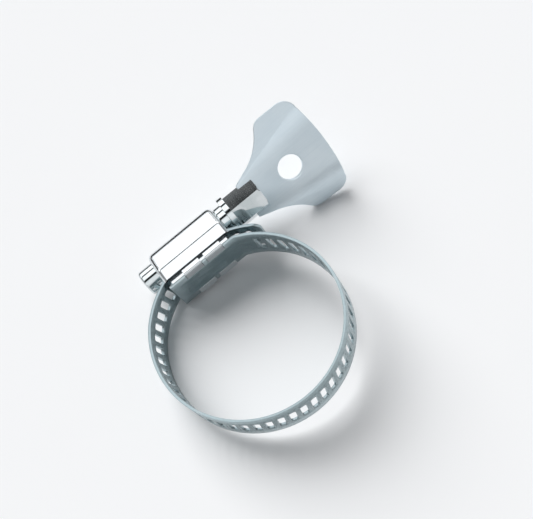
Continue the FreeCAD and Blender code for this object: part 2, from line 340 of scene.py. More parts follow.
cell = plate("cell", 0, PITCH)
edit(cell)
for side in (-1, 1):
    cut_all((0, 0, side * CELL_CUT), (0, 0, 1))
pick("FACE", lambda place, way: abs(place.z) < 1)
bpy.ops.mesh.inset(thickness=mm(web), depth=0)
pick("VERT", round_the_slot)
bpy.ops.mesh.bevel(offset=mm(SLOT_CORNER), segments=3, affect="VERTICES")
pick("FACE", lambda place, way: abs(place.x - PITCH / 2) < NEAR and abs(place.z) < NEAR)
bpy.ops.mesh.delete(type="FACE")
cut_all((PITCH / 2, 0, 0), (1, 0, 0))
pick("VERT", round_the_slot)
bpy.ops.transform.rotate(value=math.radians(LEAD), orient_axis="Y", center_override=mm(PITCH / 2, 0, 0))
done()
print("one cell:", len(cell.data.polygons), "faces")

# %% [markdown]
# ## Three lengths of the band
#
# The band bends at three places as the clamp closes, and a piece can bend at one only, so it is built in
# three lengths that meet between two slots, where nothing moves between them. The flat end has notches for
# the housing's feet and no slots, and the tail has rounded corners.

# %% Plain ends
LEGS = [(-4.2, 0.1), (1.3, 5.6)]
NOTCH_GAP = 0.1
NOTCH_BOTTOM = 3.4
CUTS_BY_THE_BEND = (-0.9, -0.5, -0.2, 0.1, 0.4, 0.8, 1.4, 2.0, 2.7)
HEAD_CELLS = 9
CELLS_BEFORE_BEND = 11
CELLS_AFTER_BEND = 9
TAIL_CELLS = 22
first_cell = far_at - (CELLS_BEFORE_BEND + HEAD_CELLS) * PITCH
flat_end = plate("flat_end", 0, first_cell)
edit(flat_end)
for offset in CUTS_BY_THE_BEND:
    cut_all((2 * flat_half + offset, 0, 0), (1, 0, 0))
for leg in LEGS:
    for edge in (leg[0] - NOTCH_GAP, leg[1] + NOTCH_GAP):
        cut_all((flat_half + edge, 0, 0), (1, 0, 0))
for height in (-CELL_CUT, CELL_CUT):
    cut_all((0, 0, height), (0, 0, 1))
for height in (-NOTCH_BOTTOM, NOTCH_BOTTOM):
    pick("FACE", lambda place, way: place.x < flat_half + LEGS[-1][-1] + NOTCH_GAP)
    cut((0, 0, height), (0, 0, 1))


def under_a_foot(place, way):
    """Whether a face of the flat end lies where a foot is folded in."""
    return abs(place.z) > NOTCH_BOTTOM and any(leg[0] < place.x - flat_half < leg[1] for leg in LEGS)


pick("FACE", under_a_foot)
bpy.ops.mesh.delete(type="FACE")
done()

tail_start = far_at + (CELLS_AFTER_BEND + TAIL_CELLS) * PITCH
tail_end = far_at + FAR_SLOTS * PITCH + math.radians(tail_angle - tip_angle) * SLIDING_RADIUS
tail_tip = plate("tail_tip", tail_start, tail_end - tail_start)
edit(tail_tip)
pick("VERT", lambda place, way: place.x > tail_end - NEAR)
bpy.ops.mesh.bevel(offset=mm(tail_end - tail_start - 0.05), segments=6, affect="VERTICES")
for height in (-CELL_CUT, CELL_CUT):
    cut_all((0, 0, height), (0, 0, 1))
done()
print("flat end", round(first_cell, 2), "mm, tail tip", round(tail_end - tail_start, 2), "mm")


# %% Rows of slots, thickness, edges and bending
def row_of_slots(name, first, count):
    """A number of cells side by side, from a place along the line."""
    row = copy_of(cell, name)
    row.data.transform(Matrix.Translation(mm(first, 0, 0)))
    apply_modifier(
        row,
        "ARRAY",
        count=count,
        use_relative_offset=False,
        use_constant_offset=True,
        constant_offset_displace=mm(PITCH, 0, 0),
        use_merge_vertices=True,
        merge_threshold=mm(0.002),
    )
    return row


def lay_flat_pattern(obj):
    """Gives the flat strip a UV map of its real size: along the strip and across it, in centimetres."""
    layer = obj.data.uv_layers.new(name="UVMap")
    for loop in obj.data.loops:
        place = obj.data.vertices[loop.vertex_index].co
        layer.data[loop.index].uv = (place.x * 100, place.z * 100 + place.y * 10)


def mark_edges(obj):
    """Stores how sharply the surface turns at each vertex, for the finishes to read as edge wear."""
    mesh = bmesh.new()
    mesh.from_mesh(obj.data)
    turns = [0.0] * len(mesh.verts)
    for edge in mesh.edges:
        if len(edge.link_faces) == 2:
            turn = min(1.0, edge.calc_face_angle(0.0) / math.radians(50))
            for corner in edge.verts:
                turns[corner.index] = max(turns[corner.index], turn)
    mesh.free()
    edge_wear = obj.data.attributes.new("edge_wear", "FLOAT", "POINT")
    edge_wear.data.foreach_set("value", turns)


def finish_strip(obj, seams):
    """Gives the flat strip its thickness and softened edges, except at its seams, and lays it on the line.

    An edge is known by the sum of its two ends, which is twice its middle.
    """
    apply_modifier(obj, "SOLIDIFY", thickness=mm(BAND_THICKNESS), offset=0)
    edit(obj)
    face_outwards()

    def spot(place):
        return tuple(round(value, 7) for value in place)

    sharp = {
        spot(edge.verts[0].co + edge.verts[1].co)
        for edge in bmesh.from_edit_mesh(obj.data).edges
        if len(edge.link_faces) == 2 and edge.calc_face_angle(0.0) > math.radians(60)
    }

    def on_rim(place, way):
        level = abs(abs(place.y) - BAND_THICKNESS / 2) < NEAR
        at_seam = any(abs(place.x - seam) < NEAR for seam in seams)
        return level and not at_seam and spot(place * 2 * MM) in sharp

    count = pick("EDGE", on_rim)
    bpy.ops.mesh.bevel(offset=mm(0.08), segments=2, clamp_overlap=True)
    done()
    lay_flat_pattern(obj)
    mark_edges(obj)
    apply_modifier(obj, "CURVE", object=band_line, deform_axis="POS_X")
    shade(obj, 50)
    print(obj.name, len(obj.data.polygons), "faces,", count, "edges softened")
    return obj


head_seam = far_at - CELLS_BEFORE_BEND * PITCH
tip_seam = far_at + CELLS_AFTER_BEND * PITCH
head_strip = joined("band_head", row_of_slots("head_row", first_cell, HEAD_CELLS), flat_end)
far_strip = row_of_slots("band_far", head_seam, CELLS_BEFORE_BEND + CELLS_AFTER_BEND)
tail_strip = joined("band_tail", row_of_slots("tail_row", tip_seam, TAIL_CELLS), tail_tip)
finish_strip(head_strip, [head_seam])
finish_strip(far_strip, [head_seam, tip_seam])
finish_strip(tail_strip, [tip_seam])
bpy.data.objects.remove(cell)

# %% [markdown]
# A strip laid along a line must keep its distance from the middle of the loop, so the result is measured.

# %% Measure the loop and bake the lengths in place
for strip in (head_strip, far_strip, tail_strip):
    low = [min(corner.co[i] for corner in strip.data.vertices) / MM for i in range(3)]
    high = [max(corner.co[i] for corner in strip.data.vertices) / MM for i in range(3)]
    print(strip.name, [round(v, 2) for v in low], [round(v, 2) for v in high])

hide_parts("band_fixed_end")
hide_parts("band_head_side", "band_tip_side")
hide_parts("band_free_end")
mm(7.0, 17.6, 0)
mm(10.5, 16.5, 0)
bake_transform(head_strip)
mm(4.0, -19.5, 0)
mm(-5.0, -19.3, 0)
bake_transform(far_strip)
mm(-18.5, 11.0, 0)
mm(-14.0, 16.2, 0)
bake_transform(tail_strip)
bpy.data.objects.remove(band_line)

# %% [markdown]
# ## The housing
#
# The real housing is pressed from one sheet: a round top over the worm, sloping shoulders, upright skirts
# beside the band, and four legs folded in under it. It could be a bent sheet with thickness added, but the
# ends are drawn in like a lid, so it is carved as a press would form it: a solid block of the outer shape
# with its end rims rounded, hollowed by a block of the inner shape.

# %% Sections of the housing
SIDE_OUTER = 5.95
SIDE_INNER = 5.15
DOME_OUTER = 4.3
DOME_INNER = 3.5
SHOULDER = 22.1
SHOULDER_ROUND = 0.5
SKIRT = 19.0
END_ROUND = 1.3
END_WALL_DROP = 2.0
JOURNAL_GAP = 0.05
PAST_THE_ENDS = 12


def section_block(name, half_width, shoulder, radius, bottom, half_length):
    """A solid with the housing's section: a round top, sloping shoulders and upright sides.

    The slope starts where a line from the shoulder's corner just touches the round top.
    """
    clear_bench()
    middle = mm(-half_length, SCREW_HEIGHT, 0)
    bpy.ops.mesh.primitive_circle_add(
        vertices=96, radius=mm(radius), location=middle, rotation=(0, math.radians(90), 0)
    )
    block = named(name)
    down = SCREW_HEIGHT - shoulder
    turn = math.acos(radius / math.hypot(half_width, down)) - math.atan2(down, half_width)
    touch = Vector((-half_length, SCREW_HEIGHT + radius * math.sin(turn), radius * math.cos(turn)))
    edit(block)
    pick("VERT", lambda place, way: place.y < touch.y + 0.05)
    bpy.ops.mesh.delete(type="VERT")
    for side in (-1, 1):
        arc = [v.co for v in bmesh.from_edit_mesh(block.data).verts if v.co.z * side > 0]
        end = max(arc, key=lambda co: abs(co.z)) / MM
        corners = [
            Vector((-half_length, touch.y, side * touch.z)),
            Vector((-half_length, shoulder, side * half_width)),
            Vector((-half_length, bottom, side * half_width)),
        ]
        pick("VERT", lambda place, way: (place - end).length < 0.001)
        for corner in corners:
            bpy.ops.mesh.extrude_region_move(TRANSFORM_OT_translate={"value": (corner - end) * MM})
            end = corner
    pick("VERT", lambda place, way: abs(place.y - shoulder) < NEAR)
    bpy.ops.mesh.bevel(offset=mm(SHOULDER_ROUND), segments=5, affect="VERTICES")
    bpy.ops.mesh.select_all(action="SELECT")
    bpy.ops.mesh.edge_face_add()
    bpy.ops.mesh.extrude_region_move(TRANSFORM_OT_translate={"value": mm(2 * half_length, 0, 0)})
    face_outwards()
    done()
    return block


def box(name, low, high):
    """A block between two corners, as a start or a cutting tool."""
    clear_bench()
    low, high = Vector(low), Vector(high)
    bpy.ops.mesh.primitive_cube_add(size=1, location=(low + high) / 2 * MM)
    bpy.context.object.scale = (high - low) * MM
    return named(name)


def rod(name, radius, start, end, sides=64):
    """A round bar along the screw's axis."""
    clear_bench()
    bpy.ops.mesh.primitive_cylinder_add(
        vertices=sides,
        radius=mm(radius),
        depth=mm(end - start),
        location=mm((start + end) / 2, SCREW_HEIGHT, 0),
        rotation=(0, math.radians(90), 0),
    )
    return named(name)


# %% Press the housing
housing = section_block("housing", SIDE_OUTER, SHOULDER, DOME_OUTER, SKIRT, HALF_HOUSING)
edit(housing)
pick("EDGE", lambda place, way: abs(abs(place.x) - HALF_HOUSING) < NEAR and place.y > SKIRT + NEAR)
bpy.ops.mesh.bevel(offset=mm(END_ROUND), segments=6, profile=0.5, clamp_overlap=False)
pick("EDGE", lambda place, way: abs(place.y - SKIRT) < NEAR and abs(place.z) > SIDE_OUTER - NEAR)
bpy.ops.mesh.bevel(offset=mm(0.2), segments=3, profile=0.5, clamp_overlap=False)
done()
inside = (SIDE_INNER, SHOULDER - WALL / 2, DOME_INNER, SKIRT - 1, HALF_HOUSING - WALL)
carve(housing, section_block("hollow", *inside))
passage_low = (-PAST_THE_ENDS, 15, -SIDE_INNER)
passage_high = (PAST_THE_ENDS, SCREW_HEIGHT - END_WALL_DROP, SIDE_INNER)
carve(housing, box("passage", passage_low, passage_high))
carve(housing, rod("bore", CORE_RADIUS + JOURNAL_GAP, -PAST_THE_ENDS, PAST_THE_ENDS))
print("housing block:", len(housing.data.polygons), "faces")

# %% [markdown]
# The four legs are strips of the same sheet. Each goes straight down past the edge of the band and turns in
# under it. A leg starts as a block, its inner lower part is drawn inwards as the foot, and the heel is
# rounded as a folded sheet is. The legs stand back a little from the skirts, and a score runs along each
# skirt's lower edge, because the press nips the sheet there to fold it.


# %% Fold the legs
LEG_STEP = 0.1
LEG_OVERLAP = 1.9
FOOT_END = 3.5
HEEL_ROUND = 0.45
SCORE_DEPTH = 0.6
SCORE_HEIGHT = 0.4


def leg(name, along, side):
    """One leg with its foot folded in."""
    bottom = flat_height - BAND_THICKNESS / 2
    outside = SIDE_OUTER - LEG_STEP
    low = (along[0], bottom, min(side * SIDE_INNER, side * outside))
    high = (along[1], SKIRT + LEG_OVERLAP, max(side * SIDE_INNER, side * outside))
    piece = box(name, low, high)
    edit(piece)
    cut_all((0, bottom + BAND_THICKNESS, 0), (0, 1, 0))
    pick("FACE", lambda place, way: way.z * side < -0.9 and place.y < bottom + BAND_THICKNESS)
    reach = mm(0, 0, -side * (SIDE_INNER - FOOT_END))
    bpy.ops.mesh.extrude_region_move(TRANSFORM_OT_translate={"value": reach})
    heel = Vector((sum(along) / 2, bottom, side * outside))
    pick("EDGE", lambda place, way: (place - heel).length < NEAR)
    bpy.ops.mesh.bevel(offset=mm(HEEL_ROUND), segments=5, clamp_overlap=False)
    done()
    return piece


for along in LEGS:
    for side in (-1, 1):
        carve(housing, leg("leg", along, side), "UNION")
for side in (-1, 1):
    low, high = sorted((side * (SIDE_OUTER - SCORE_DEPTH), side * (SIDE_OUTER + 1)))
    score_low = (-PAST_THE_ENDS, SKIRT - SCORE_HEIGHT, low)
    carve(housing, box("score", score_low, (PAST_THE_ENDS, SKIRT, high)))


def soften(obj, width, angle=38, segments=2):
    """Rounds the edges that are left sharp, smooths the shading, and keeps flat faces flat."""
    edit(obj)
    bpy.ops.mesh.select_all(action="SELECT")
    bpy.ops.mesh.remove_doubles(threshold=mm(0.004))
    bpy.ops.mesh.dissolve_limited(angle_limit=math.radians(0.5))
    done()
    apply_modifier(
        obj,
        "BEVEL",
        width=mm(width),
        segments=segments,
        limit_method="ANGLE",
        angle_limit=math.radians(angle),
        use_clamp_overlap=True,
        miter_outer="MITER_ARC",
    )
    shade(obj, 50)
    apply_modifier(obj, "WEIGHTED_NORMAL", keep_sharp=True, weight=80)
    mark_edges(obj)
    print(obj.name, len(obj.data.polygons), "faces")


soften(housing, 0.1)


def mark_faces(obj, name, test):
    """Stores one on the corners of the faces that pass a test of their middle and normal, else zero."""
    marks = obj.data.attributes.new(name, "FLOAT", "CORNER")
    for face in obj.data.polygons:
        mark = float(test(face.center / MM, face.normal))
        for corner in face.loop_indices:
            marks.data[corner].value = mark


# Painted shade: the downward faces under each skirt's lower edge are marked, so that the finish paints them
# near-black for the dark line along that edge.
mark_faces(
    housing, "skirt_underside_painted_shade", lambda place, way: way.y < -0.6 and SKIRT - 0.05 < place.y < SKIRT + 0.3
)
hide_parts("housing_dome")
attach(housing, "housing")

# %% [markdown]
# ## The worm screw
#
# The screw is turned on a lathe and its thread is rolled. It starts as the short cylinder of the tip. The
# face at its inner end is drawn out along the axis and scaled, one shoulder after another, the way a lathe
# leaves them, and a shallow dimple is left in the tip. The thread is a small section swept round the axis
# by a Screw modifier and cut off square inside the housing. The head is a six-sided bar with its corners
# turned down and a slot sawn across it for the key.

# %% Turn the shaft
TIP_END = -12.3
SHOULDER_START = 8.7
SHOULDER_RADIUS = 2.9
COLLAR_START = 10.4
COLLAR_RADIUS = 4.0
HEX_START = 11.7
HEAD_END = 19.0
KEY_START = 15.6
KEY_TURN = 50.0

screw = rod("worm_screw_turned", SHOULDER_RADIUS, TIP_END, -SHOULDER_START)
edit(screw)
reached, radius = -SHOULDER_START, SHOULDER_RADIUS
lengths = ((SHOULDER_START, CORE_RADIUS), (COLLAR_START, SHOULDER_RADIUS), (HEX_START, COLLAR_RADIUS))
for along, wider in lengths:
    for move, ratio in ((0, wider / radius), (along - reached, 1)):
        pick("FACE", lambda place, way: way.x > 0.9 and abs(place.x - reached) < NEAR)
        bpy.ops.mesh.extrude_region_move(TRANSFORM_OT_translate={"value": mm(move, 0, 0)})
        reached += move
        centre = mm(reached, SCREW_HEIGHT, 0)
        bpy.ops.transform.resize(value=(1, ratio, ratio), center_override=centre)
    radius = wider


def chamfer_rim(along, size, width, segments):
    """Rounds a turned rim, found by its place along the screw and its radius."""
    def on_rim(place, way):
        out = math.hypot(place.y - SCREW_HEIGHT, place.z)
        return abs(place.x - along) < NEAR and abs(out - size) < 2 * NEAR and abs(way.x) < 0.1

    pick("EDGE", on_rim)
    bpy.ops.mesh.bevel(offset=mm(width), segments=segments)


chamfer_rim(TIP_END, SHOULDER_RADIUS, 0.6, 4)
chamfer_rim(COLLAR_START, COLLAR_RADIUS, 0.18, 3)
chamfer_rim(HEX_START, COLLAR_RADIUS, 0.18, 3)
pick("FACE", lambda place, way: way.x < -0.9 and abs(place.x - TIP_END) < NEAR)
bpy.ops.mesh.inset(thickness=mm(1.1), depth=0)
bpy.ops.mesh.inset(thickness=mm(0.45), depth=mm(-0.25))
done()
print("shaft:", len(screw.data.polygons), "faces")

# %% Roll the thread
THREAD_HALF = 7.7
CREST = 0.6
CREST_ROUND = 0.14
ROOT_OVERLAP = 0.2
turns = math.ceil(2 * THREAD_HALF / PITCH) + 1.5
# The sweep starts on the side away from the band, so this start brings a crest to x = 0 facing the band.
thread_start = -(round(turns / 2 - 0.75) + 0.75) * PITCH
clear_bench()
bpy.ops.mesh.primitive_plane_add(size=mm(1), rotation=(math.radians(90), 0, 0))
thread = named("thread")
edit(thread)
pick("EDGE", lambda place, way: place.z < -0.4)
bpy.ops.transform.resize(value=(CREST, 1, 1), center_override=(0, 0, 0))
pick("VERT", lambda place, way: place.z < -0.4)
bpy.ops.transform.translate(value=mm(0, 0, 0.5 - WORM_RADIUS))
pick("VERT", lambda place, way: place.z > 0.4)
bpy.ops.transform.translate(value=mm(0, 0, -0.5 - CORE_RADIUS + ROOT_OVERLAP))
bpy.ops.mesh.select_all(action="SELECT")
bpy.ops.mesh.delete(type="ONLY_FACE")
pick("VERT", lambda place, way: place.z < -WORM_RADIUS + 0.1)
bpy.ops.mesh.bevel(offset=mm(CREST_ROUND), segments=2, affect="VERTICES")
done()
thread.location = mm(thread_start, SCREW_HEIGHT, 0)
apply_modifier(
    thread,
    "SCREW",
    axis="X",
    angle=2 * math.pi * turns,
    screw_offset=mm(PITCH * turns),
    steps=round(40 * turns),
    render_steps=round(40 * turns),
)
put_on_bench(thread)
bpy.ops.object.transform_apply(location=True, rotation=True, scale=True)
edit(thread)
cut_all((-THREAD_HALF, 0, 0), (1, 0, 0), clear_inner=True, use_fill=True)
cut_all((THREAD_HALF, 0, 0), (1, 0, 0), clear_outer=True, use_fill=True)
face_outwards()
open_edges = sum(not edge.is_manifold for edge in bmesh.from_edit_mesh(thread.data).edges)
done()
print("thread has", open_edges, "open edges")
lowest = mm(SCREW_HEIGHT - WORM_RADIUS + NEAR)
facing_band = sorted({round(v.co.x / MM, 1) for v in thread.data.vertices if v.co.y < lowest})
print("thread:", len(thread.data.polygons), "faces, crests at", facing_band)

# %% Shape the head
HEX_HALF = 3.5
HEX_CHAMFER = 0.4
CONE = 9.0
SAW_HALF = 0.62
KEY_GAP = 0.02


def turned_to_key(obj):
    """Turns a shape made flat in the band's plane to the key's own plane, on the screw's axis."""
    obj.data.transform(Matrix.Rotation(math.radians(KEY_TURN), 4, "X"))
    obj.data.transform(Matrix.Translation(mm(0, SCREW_HEIGHT, 0)))
    obj.data.update()
    return obj


corner_radius = HEX_HALF / math.cos(math.radians(30))
bar_start = HEX_START - ROOT_OVERLAP
clear_bench()
bpy.ops.mesh.primitive_cylinder_add(
    vertices=6,
    radius=mm(corner_radius),
    depth=mm(HEAD_END - bar_start),
    location=mm((HEAD_END + bar_start) / 2, 0, 0),
    rotation=(0, math.radians(90), 0),
)
head = turned_to_key(named("head"))
clear_bench()
bpy.ops.mesh.primitive_cone_add(
    vertices=96,
    radius1=mm(corner_radius - HEX_CHAMFER + CONE),
    radius2=mm(corner_radius - HEX_CHAMFER),
    depth=mm(CONE),
    location=mm(HEAD_END - CONE / 2, SCREW_HEIGHT, 0),
    rotation=(0, math.radians(90), 0),
)
carve(head, named("turning_tool"), "INTERSECT")
saw = box("saw", (KEY_START - KEY_GAP, -20, -SAW_HALF), (HEAD_END + 1, 20, SAW_HALF))
carve(head, turned_to_key(saw))
soften(head, 0.25, angle=25, segments=3)
shade(thread, 35)
soften(screw, 0.05, angle=60)
put_on_bench(thread, head, screw)
bpy.ops.object.join()
print("screw:", len(screw.data.polygons), "faces")
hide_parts("worm_screw")
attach(screw, "screw")

# %% [markdown]
# ## The thumb key
#
# The key is stamped from thicker sheet: a narrow neck that sits in the head's slot, two rounded wings for
# finger and thumb, and a hole to hang it by. Half its outline is worked out as straight runs and arcs, and
# the whole is drawn from it and its mirror image, filled, and folded along two splayed creases. A crease is
# nine narrow strips that each turn a ninth of the way, because sheet doesn't fold to a knife edge.

# %% Draw the outline
KEY_LENGTH = 21.2
KEY_HALF_WIDTH = 12.5
KEY_HALF_NECK = 4.3
KEY_THICKNESS = 1.2
HOLE_RADIUS = 2.8
HOLE_AT = 11.7


def through(first, middle, last, count):
    """Points on the arc through three points, without the first."""
    (ax, ay), (bx, by), (cx, cy) = first, middle, last
    d = 2 * (ax * (by - cy) + bx * (cy - ay) + cx * (ay - by))
    ux = ((ax**2 + ay**2) * (by - cy) + (bx**2 + by**2) * (cy - ay) + (cx**2 + cy**2) * (ay - by)) / d
    uy = ((ax**2 + ay**2) * (cx - bx) + (bx**2 + by**2) * (ax - cx) + (cx**2 + cy**2) * (bx - ax)) / d
    radius = math.hypot(ax - ux, ay - uy)
    start = math.atan2(ay - uy, ax - ux)
    way = math.copysign(1, (bx - ax) * (cy - ay) - (by - ay) * (cx - ax))
    sweep = (math.atan2(cy - uy, cx - ux) - start) * way % (2 * math.pi)
    turns = [start + way * sweep * i / count for i in range(1, count + 1)]
    return [(ux + radius * math.cos(turn), uy + radius * math.sin(turn)) for turn in turns]


neck, flank_start = (0, KEY_HALF_NECK), (4.2, KEY_HALF_NECK + 1.6)
flank_middle, flank_end = (8.0, KEY_HALF_NECK + 4.0), (10.4, KEY_HALF_WIDTH - 1.3)
lower_corner, side_start = (11.5, KEY_HALF_WIDTH - 0.3), (13.0, KEY_HALF_WIDTH)
side_end = (17.4, KEY_HALF_WIDTH)
upper_corner, top_start = (19.5, KEY_HALF_WIDTH - 0.9), (20.4, KEY_HALF_WIDTH - 3.2)
top_middle, top_end = (21.0, KEY_HALF_WIDTH / 2 - 1.6), (KEY_LENGTH, 0)

half_outline = [neck, flank_start]
half_outline += through(half_outline[-1], flank_middle, flank_end, 10)
half_outline += through(half_outline[-1], lower_corner, side_start, 6)
half_outline += [side_end]
half_outline += through(half_outline[-1], upper_corner, top_start, 8)
half_outline += through(half_outline[-1], top_middle, top_end, 10)
outline = half_outline + [(u, -v) for u, v in reversed(half_outline[:-1])]

clear_bench()
bpy.ops.mesh.primitive_plane_add(size=mm(1))
key = named("key")
edit(key)
bpy.ops.mesh.select_all(action="SELECT")
bpy.ops.mesh.merge(type="CENTER")
pen = Vector((KEY_START + outline[0][0], outline[0][1], 0))
bpy.ops.transform.translate(value=pen * MM)
for u, v in outline[1:]:
    corner = Vector((KEY_START + u, v, 0))
    bpy.ops.mesh.extrude_region_move(TRANSFORM_OT_translate={"value": (corner - pen) * MM})
    pen = corner
bpy.ops.mesh.select_all(action="SELECT")
bpy.ops.mesh.edge_face_add()
done()
print("outline of", len(key.data.vertices), "corners")

# %% Fold the wings
CREASE_START = 3.86
SPLAY = 10.0
SPREAD = 14.0
FOLD = 24.0
STRIPS = 9


def turn_all(degrees, way, centre):
    """Turns what is selected about an axis through a place. With no window the tool turns the other way."""
    bpy.ops.transform.rotate(value=-math.radians(degrees), orient_axis=way, center_override=mm(*centre))


edit(key)
for side in (1, -1):
    apex = Vector((KEY_START, side * CREASE_START, 0))
    splays = [SPLAY + SPREAD * ((index + 0.5) / STRIPS - 0.5) for index in range(STRIPS)]
    for splay in splays:
        across_crease = (-math.sin(math.radians(side * splay)), math.cos(math.radians(splay)), 0)
        pick("FACE", lambda place, way: place.y * side > 0 or abs(place.y) < CREASE_START)
        cut(apex, across_crease)
    for splay in reversed(splays):
        bpy.ops.mesh.select_all(action="SELECT")
        turn_all(-side * splay, "Z", apex)
        pick("VERT", lambda place, way: (place.y - apex.y) * side > 0.004 and place.x > apex.x - NEAR)
        turn_all(-side * FOLD / STRIPS, "X", apex)
        bpy.ops.mesh.select_all(action="SELECT")
        turn_all(side * splay, "Z", apex)
done()
heights = [v.co.z / MM for v in key.data.vertices]
print("wing tips lie", round(min(heights), 2), "to", round(max(heights), 2), "mm from the plate's plane")

# %% Thickness, hole and place
apply_modifier(key, "SOLIDIFY", thickness=mm(KEY_THICKNESS), offset=0, use_even_offset=True)
edit(key)
face_outwards()
done()
clear_bench()
hole = mm(KEY_START + HOLE_AT, 0, 0)
bpy.ops.mesh.primitive_cylinder_add(vertices=64, radius=mm(HOLE_RADIUS), depth=mm(6), location=hole)
carve(key, named("punch"))
turned_to_key(key)
soften(key, 0.2, angle=60, segments=3)
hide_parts("thumb_key")
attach(key, "screw")

# %% [markdown]
# ## Writing finishes as expressions
#
# A finish is a small sum: a base colour, plus a little of this noise, less a little of that. The class
# `Field` wraps a node's output so that such a sum can be written as one, and `node` adds any other node from
# its type, its settings and its inputs.


# %% Shader helpers
class Field:
    """A value that varies over the surface. Sums of fields and numbers add Math nodes."""

    def __init__(self, nodes, socket):
        self.nodes = nodes
        self.socket = socket

    def math(self, operation, first, second):
        return self.nodes.field("ShaderNodeMath", {0: first, 1: second}, operation=operation)

    def __add__(self, other):
        return self.math("ADD", self, other)

    def __sub__(self, other):
        return self.math("SUBTRACT", self, other)

    def __mul__(self, other):
        return self.math("MULTIPLY", self, other)

    def __rsub__(self, other):
        return self.math("SUBTRACT", other, self)

    __radd__ = __add__
    __rmul__ = __mul__


class Nodes:
    """A node tree and what is added to it."""

    def __init__(self, tree):
        self.tree = tree

    def node(self, kind, inputs, **settings):
        """Adds a node: its settings first, then its inputs, each a number, a colour or a field."""
        node = self.tree.nodes.new(kind)
        for key, value in settings.items():
            setattr(node, key, value)
        for key, value in inputs.items():
            if isinstance(value, Field):
                self.tree.links.new(value.socket, node.inputs[key])
            else:
                node.inputs[key].default_value = value
        return node

    def field(self, kind, inputs, output=0, **settings):
        """A node's output as a field."""
        return Field(self, self.node(kind, inputs, **settings).outputs[output])

    def span(self, field, low, high, to_low=0.0, to_high=1.0):
        """Maps a range of a field to another range, and holds it there."""
        inputs = {0: field, 1: low, 2: high, 3: to_low, 4: to_high}
        return self.field("ShaderNodeMapRange", inputs)


class Finish(Nodes):
    """A procedural material on the Principled shader."""

    def __init__(self, name, **uniform):
        self.material = bpy.data.materials.new(name)
        self.material.use_nodes = True
        super().__init__(self.material.node_tree)
        self.shader = self.tree.nodes["Principled BSDF"]
        for socket, value in uniform.items():
            self.shader.inputs[socket.replace("_", " ")].default_value = value

    def place(self, scale, flat=False):
        """Where on the piece a point is, stretched by a scale along each axis."""
        where = self.field("ShaderNodeTexCoord", {}, output="UV" if flat else "Object")
        return self.field("ShaderNodeMapping", {"Vector": where, "Scale": scale})

    def noise(self, scale, detail=3.0, flat=False):
        """Noise about a middle of 0.5, with so many lumps in a metre along each axis."""
        where = self.place(scale, flat)
        return self.field("ShaderNodeTexNoise", {"Vector": where, "Scale": 1.0, "Detail": detail})

    def mixed(self, factor, first, second):
        """A colour between two colours."""
        inputs = {"Factor": factor, 6: first, 7: second}
        return self.field("ShaderNodeMix", inputs, output=2, data_type="RGBA")

    def stored(self, name):
        """A value stored on the mesh."""
        return self.field("ShaderNodeAttribute", {}, output="Fac", attribute_name=name)

    def feed(self, **sockets):
        """Links fields to the shader's sockets."""
        for socket, value in sockets.items():
            self.tree.links.new(value.socket, self.shader.inputs[socket.replace("_", " ")])

    def bump(self, height, distance):
        """A bump of a height field, in metres."""
        return self.field("ShaderNodeBump", {"Height": height, "Distance": distance, "Strength": 1.0})


# %% [markdown]
# ## Finishes
#
# Everything is steel plated with bright zinc, which has a cool, slightly blue cast. The pieces differ in
# what was done to the steel under the plating, and in how the plating caught the light afterwards.
#
# The strip is rolled, so it has fine lines along its length and a slightly uneven sheen, and its sheared
# edges are brighter. The lines follow the strip round the loop, so they are read from its own UV map.


# %% Rolled strip
def rolled_strip():
    """Zinc-plated rolled strip, with lines along its length."""
    finish = Finish("rolled_zinc_strip", Metallic=1.0)
    lines = finish.noise((6.0, 260.0, 1.0), detail=4.0, flat=True)
    clouds = finish.noise((4.0, 5.0, 1.0), detail=2.0, flat=True)
    worn = finish.stored("edge_wear")
    tone = finish.span(lines * 0.35 + clouds * 0.65, 0.35, 0.65)
    steel = finish.mixed(tone, (0.27, 0.36, 0.385, 1), (0.39, 0.485, 0.51, 1))
    colour = finish.mixed(worn * 0.5, steel, (0.60, 0.65, 0.67, 1))
    roughness = 0.26 + (lines - 0.5) * 0.12 + (clouds - 0.5) * 0.10 + worn * 0.12
    normal = finish.bump(lines, 0.000004)
    finish.feed(Base_Color=colour, Roughness=roughness, Normal=normal)
    return finish.material


# %% [markdown]
# The housing is pressed from polished sheet and stays glossy. The press leaves faint draw marks across the
# bend and a slight orange-peel in the plating. The faces under each skirt are painted near-black: painted
# shade for the dark line along the skirt's lower edge.


# %% Pressed housing
def pressed_sheet():
    """Glossy zinc-plated pressed sheet."""
    finish = Finish("pressed_zinc_sheet", Metallic=1.0)
    peel = finish.noise((900.0, 900.0, 900.0), detail=2.0)
    marks = finish.noise((2600.0, 180.0, 180.0), detail=3.0)
    clouds = finish.noise((160.0, 160.0, 160.0), detail=2.0)
    worn, skirt_underside_painted_shade = finish.stored("edge_wear"), finish.stored("skirt_underside_painted_shade")
    tone = finish.span(clouds, 0.35, 0.65)
    sheet = finish.mixed(tone, (0.66, 0.70, 0.72, 1), (0.78, 0.81, 0.82, 1))
    polished = finish.mixed(worn * 0.5, sheet, (0.86, 0.88, 0.89, 1))
    # Painted shade: the marked faces under the skirts are painted near-black and made rougher.
    colour = finish.mixed(skirt_underside_painted_shade, polished, (0.045, 0.055, 0.06, 1))
    roughness = 0.14 + (marks - 0.5) * 0.10 + (clouds - 0.5) * 0.08 + skirt_underside_painted_shade * 0.35
    normal = finish.bump(peel * 0.7 + marks * 0.3, 0.000004)
    finish.feed(Base_Color=colour, Roughness=roughness, Normal=normal)
    return finish.material


# %% [markdown]
# The screw is turned, so fine rings run round its axis, close together and about a micrometre deep. The
# plating over them is the glossiest on the clamp.


